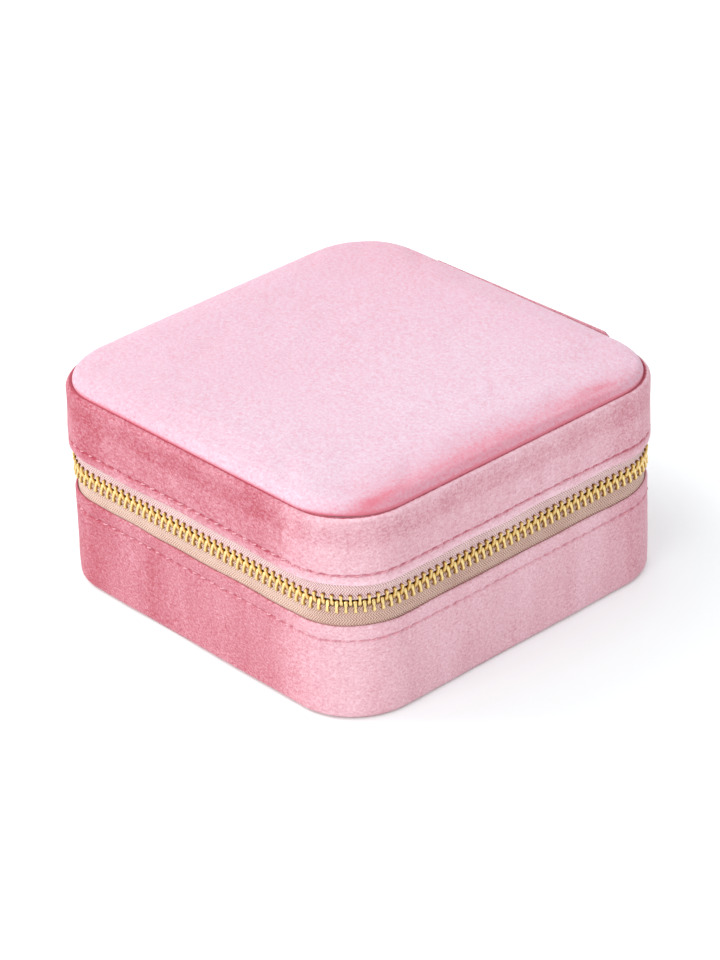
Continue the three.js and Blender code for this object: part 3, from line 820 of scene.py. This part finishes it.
def zip_teeth():
    """Both rows of teeth, meshed ahead of the slider and a little apart behind it."""
    verts, faces, shade = tooth_shape()
    margin = 0.7 * MM
    count = int((WHOLE - 2 * TOOTH_START - 1.5 * MM) / TOOTH_PITCH)
    slider_s = HALF - CORNER + CORNER * math.pi / 2 + (HALF - CORNER - SLIDER_Y)
    for name, side, body in (("upper", 1, "lid"), ("lower", -1, "base")):
        offset = 0 if side > 0 else TOOTH_PITCH / 2
        s = TOOTH_START + margin + offset + TOOTH_PITCH * np.arange(count)
        p, n = at(s)
        apart = TOOTH_PARTING * (1 - smooth(s, slider_s - PARTING_RUN, slider_s))
        rng = np.random.default_rng(51 + side)
        lean = rng.normal(0, 0.012, count)
        lift = rng.normal(0, 0.02 * MM, count)
        all_verts, all_faces = [], []
        for i in range(count):
            across = np.array([-n[i, 1], n[i, 0]])
            x = verts[:, 0] + lean[i] * verts[:, 2]
            xy = p[i] - n[i] * TOOTH_INSET + np.outer(x, across) + np.outer(verts[:, 1], n[i])
            z = ZIP_Z + side * (verts[:, 2] + apart[i] + lift[i])
            base = i * len(verts)
            all_verts.append(np.column_stack([xy, z]))
            all_faces += [[base + k for k in f] for f in faces]
        made = piece(f"zip_row_{name}", np.vstack(all_verts), all_faces,
                     tone_and_shade=np.tile(shade, count), material=gold)
        made.data.set_sharp_from_angle(angle=math.radians(50))
        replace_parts(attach(made, body), f"zip_teeth_{name}")


# ---------------------------------------------------------------- stitching
def stitch_line(name, z, body, node, inset):
    """Short stitches that come up out of the velvet and dive back into it."""
    count = int((WHOLE - 2 * STITCH_START) / STITCH_PITCH)
    along = np.linspace(-1, 1, 9)
    around = np.radians(np.arange(0, 360, 60))
    rows, m = len(along), len(around)
    rng = np.random.default_rng(61)
    verts, faces = [], []
    for i in range(count):
        middle = STITCH_START + (i + 0.5) * STITCH_PITCH + rng.normal(0, 0.1 * MM)
        length = STITCH_LENGTH * rng.uniform(0.8, 1.1)
        tilt = rng.normal(0.22, 0.06)  # a lockstitch lies a little across its line
        pulled = rng.uniform(0, 0.14 * MM)
        rise = rng.normal(0, 0.05 * MM)
        p, n = at(middle + along * length / 2)
        depth = inset + pulled + 0.45 * MM * np.abs(along) ** 3
        radius = THREAD_RADIUS * (1 - 0.35 * np.abs(along) ** 4)
        base = len(verts)
        for k in range(rows):
            for a in around:
                xy = p[k] + n[k] * (radius[k] * math.cos(a) - depth[k])
                verts.append((*xy, z + rise + radius[k] * math.sin(a) + tilt * along[k] * length / 2))
        rings = base + np.arange(rows * m).reshape(rows, m)
        for near, far in zip(rings, rings[1:]):
            faces += [[near[q], far[q], far[(q + 1) % m], near[(q + 1) % m]] for q in range(m)]
        faces += [list(rings[0]), list(rings[-1][::-1])]
    made = piece(name, verts, faces, material=thread)
    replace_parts(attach(made, body), node)


# ---------------------------------------------------------------- hinge strip
def strip_sheet(name, y, thickness, z0, z1, material, seed, tone_and_shade):
    """An upright velvet strip in the XZ plane with rounded edges, ready to bend at the hinge."""
    columns = 57
    x = np.linspace(-STRIP, STRIP, columns)
    low, high = ZIP_Z - STRIP_BEND, ZIP_Z + STRIP_BEND
    z = np.concatenate([np.linspace(z0, low, 20)[:-1], np.linspace(low, high, 26)[:-1],
                        np.linspace(high, z1, 20)])
    rows = len(z)
    end = np.minimum(np.minimum(z - z0, z1 - z), STRIP_CORNER)
    width = STRIP - STRIP_CORNER + np.sqrt(STRIP_CORNER ** 2 - (STRIP_CORNER - end) ** 2)
    grid = np.array([[(a * w / STRIP, y, b) for a in x] for b, w in zip(z, width)])
    grid[..., 1] += 0.05 * MM * hills(grid, 9 * MM, seed)
    index = np.arange(rows * columns).reshape(rows, columns)
    faces = [(index[i, j], index[i, j + 1], index[i + 1, j + 1], index[i + 1, j])
             for i in range(rows - 1) for j in range(columns - 1)]
    made = piece(name, grid.reshape(-1, 3), faces, tone_and_shade=np.full(rows * columns, tone_and_shade), material=material)
    thick = made.modifiers.new("thickness", "SOLIDIFY")
    thick.thickness = thickness
    thick.offset = 0
    ease_edges(made, thickness * 0.45, 60)
    apply_modifiers(made).shade_smooth()
    return made


def ease_edges(made, width, angle):
    """Rounds an object's edges that are sharper than an angle in degrees."""
    bevel = made.modifiers.new("eased", "BEVEL")
    bevel.width = width
    bevel.segments = 3
    bevel.limit_method = "ANGLE"
    bevel.angle_limit = math.radians(angle)


def hinge_strips():
    """The velvet strip outside and the lining strip inside, each one piece, finely divided where it would bend at
    the hinge.
    """
    low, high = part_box("hinge_strip_lower"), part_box("hinge_strip_upper")
    outer = strip_sheet("hinge_strip", (high[0].y + high[1].y) / 2, high[1].y - high[0].y,
                        low[0].z, high[1].z + STRIP_RISE, side_velvet, 71, 0.45)
    low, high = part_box("hinge_lining_lower"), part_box("hinge_lining_upper")
    inner = strip_sheet("hinge_lining", (low[0].y + low[1].y) / 2, LINING_THICK,
                        low[0].z, high[1].z, lining_velvet, 72, 0.5)
    for made, names, slot in ((outer, ("hinge_strip_lower", "hinge_strip_upper"), "velvet"),
                              (inner, ("hinge_lining_lower", "hinge_lining_upper"), "lining")):
        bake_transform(made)
        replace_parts(made, *names)


# ---------------------------------------------------------------- inside
def ring_rolls():
    """Foam rolls under velvet: round on top, pressed flat where they touch, tucked in at the ends."""
    names = sorted(n for n in nodes if n.startswith("ring_roll_"))
    steps, around = 40, 36
    for k, name in enumerate(names):
        lo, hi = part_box(name)
        size = hi - lo
        angles = np.linspace(0, 2 * math.pi, around, endpoint=False)
        verts = []
        for t in np.linspace(0, 1, steps):
            ease = math.sin(math.pi / 2 * min(1, min(t, 1 - t) / 0.07)) ** 0.6
            shrink = 0.55 + 0.45 * ease
            for a in angles:
                c, s = math.cos(a), math.sin(a)
                y = size.y / 2 * np.sign(c) * abs(c) ** 0.7 * shrink
                z = size.z / 2 * (1 + np.sign(s) * abs(s) ** (0.95 if s > 0 else 0.45) * shrink)
                verts.append((lo.x + size.x * t, (lo.y + hi.y) / 2 + y, lo.z + z))
        verts = np.array(verts)
        from_end = np.minimum(verts[:, 0] - lo.x, hi.x - verts[:, 0])
        gather = 0.12 * MM * hills(verts, 2.2 * MM, 80 + k) * (1 - smooth(from_end, 0.5 * MM, 5 * MM))
        verts[:, 2] += 0.12 * MM * hills(verts, 9 * MM, 90 + k) + gather
        index = np.arange(steps * around).reshape(steps, around)
        faces = [(index[i, j], index[i, (j + 1) % around], index[i + 1, (j + 1) % around], index[i + 1, j])
                 for i in range(steps - 1) for j in range(around)]
        faces += [list(index[0][::-1]), list(index[-1])]
        made = piece(f"{name}_cover", verts, faces, tone_and_shade=np.full(len(verts), 0.55), material=lining_velvet)
        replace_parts(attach(made, "base"), name)


def soft_board(node, name, body):
    """A board wrapped in lining: the node's box with rounded edges and a slightly uneven face."""
    lo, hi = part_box(node)
    bm = bmesh.new()
    bmesh.ops.create_cube(bm, size=1)
    middle, size = (lo + hi) / 2, hi - lo
    for v in bm.verts:
        v.co = middle + Vector((v.co.x * size.x, v.co.y * size.y, v.co.z * size.z))
    bmesh.ops.bevel(bm, geom=list(bm.edges), offset=BOARD_EDGE, segments=3, affect="EDGES", profile=0.5)
    long_edges = [e for e in bm.edges if e.calc_length() > 4 * MM]
    bmesh.ops.subdivide_edges(bm, edges=long_edges, cuts=12, use_grid_fill=True)
    co = np.array([v.co for v in bm.verts])
    shift = 0.05 * MM * hills(co, 6 * MM, len(node))
    bm.normal_update()
    for v, d in zip(bm.verts, shift):
        v.co += v.normal * d
    mesh = bpy.data.meshes.new(name)
    bm.to_mesh(mesh)
    bm.free()
    mesh.shade_smooth()
    set_tone_and_shade(mesh, np.full(len(mesh.vertices), 0.5))
    mesh.materials.append(lining_velvet)
    made = bpy.data.objects.new(name, mesh)
    bpy.context.scene.collection.objects.link(made)
    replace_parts(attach(made, body), node)


def finish_frame_nodes():
    """Gives the CAD nodes that stay in sight their materials, and eases their edges."""
    looks = {
        "lining": lining_velvet, "board": greyboard, "foam": open_foam, "brass": fitting_gold,
        "mirror": mirror, "velvet": side_velvet, "tape": upper_tape, "thread": thread,
    }
    eased = {  # rounding in millimetres
        "slider_body": 0.16, "slider_crown": 0.14, "pull_link": 0.12, "pull_tab": 0.18,
        "mirror_glass": 0.2, "mirror_frame": 0.3, "base_lining_wall": 0.4, "lid_lining_wall": 0.4,
    }
    for entry in frame["record"]["subparts"]:
        node = nodes[entry["node"]]
        node.data.materials.clear()
        node.data.materials.append(looks[entry["material_slot"]])
        if entry["node"] in eased:
            ease_edges(node, eased[entry["node"]] * MM, 40)


# ---------------------------------------------------------------- stage, light and camera
def make_stage():
    """White paper floor, a pale surround and two large soft lights."""
    bpy.ops.mesh.primitive_plane_add(size=8, location=(0, 0, -0.1 * MM))
    floor = bpy.context.object
    floor.name = "floor"
    floor.data.materials.append(plain_floor("floor_paper"))
    world = bpy.data.worlds.new("studio")
    world.use_nodes = True
    bpy.context.scene.world = world
    back = world.node_tree.nodes["Background"]
    back.inputs["Color"].default_value = (0.97, 0.98, 1.0, 1)
    back.inputs["Strength"].default_value = 0.93
    add_light("key", (-1.0, -0.6, 1.1), 0.8, 12.5, (1.0, 0.98, 0.96))
    add_light("fill", (0.15, -1.4, 0.7), 1.2, 10, (1.0, 0.99, 0.98))


def add_light(name, place, size, power, color):
    """A square light that faces the middle of the case."""
    lamp = bpy.data.lights.new(name, "AREA")
    lamp.shape = "SQUARE"
    lamp.size = size
    lamp.energy = power
    lamp.color = color
    made = bpy.data.objects.new(name, lamp)
    made.location = place
    made.rotation_euler = (Vector((0, 0, 0.025)) - made.location).to_track_quat("-Z", "Y").to_euler()
    bpy.context.scene.collection.objects.link(made)


def make_camera():
    """The camera looks down on the corner between the front and the right side."""
    yaw, elevation, roll = math.radians(47.93), math.radians(29.48), math.radians(-2.0)
    distance, aside, above = 0.751, -0.77 * MM, 18.67 * MM
    flat = math.cos(elevation)
    back = Vector((math.sin(yaw) * flat, -math.cos(yaw) * flat, math.sin(elevation)))
    level = Vector((0, 0, 1)).cross(back).normalized()
    upright = back.cross(level)
    right = math.cos(roll) * level + math.sin(roll) * upright
    up = back.cross(right)
    lens = bpy.data.cameras.new("camera")
    lens.lens = 124.9
    lens.sensor_width = 36
    lens.clip_start = 0.01
    camera = bpy.data.objects.new("camera", lens)
    place = back * distance + right * aside + up * above
    turn = Matrix((right, up, back)).transposed().to_4x4()
    camera.matrix_world = Matrix.Translation(place) @ turn
    bpy.context.scene.collection.objects.link(camera)
    bpy.context.scene.camera = camera
    bpy.context.scene.view_settings.view_transform = "Standard"


make_camera()
make_stage()
finish_frame_nodes()
base_band()
lid_band()
top_pad()
zip_tapes()
zip_teeth()
stitch_line("base_stitches", BASE_STITCH_Z, "base", "base_stitching", BASE_SHY + 0.04 * MM)
stitch_line("lid_stitches", LID_STITCH_Z, "lid", "lid_stitching", 0.02 * MM)
hinge_strips()
ring_rolls()
soft_board("long_divider", "long_divider_cover", "base")
for number in (1, 2):
    soft_board(f"cross_divider_{number}", f"cross_divider_cover_{number}", "base")
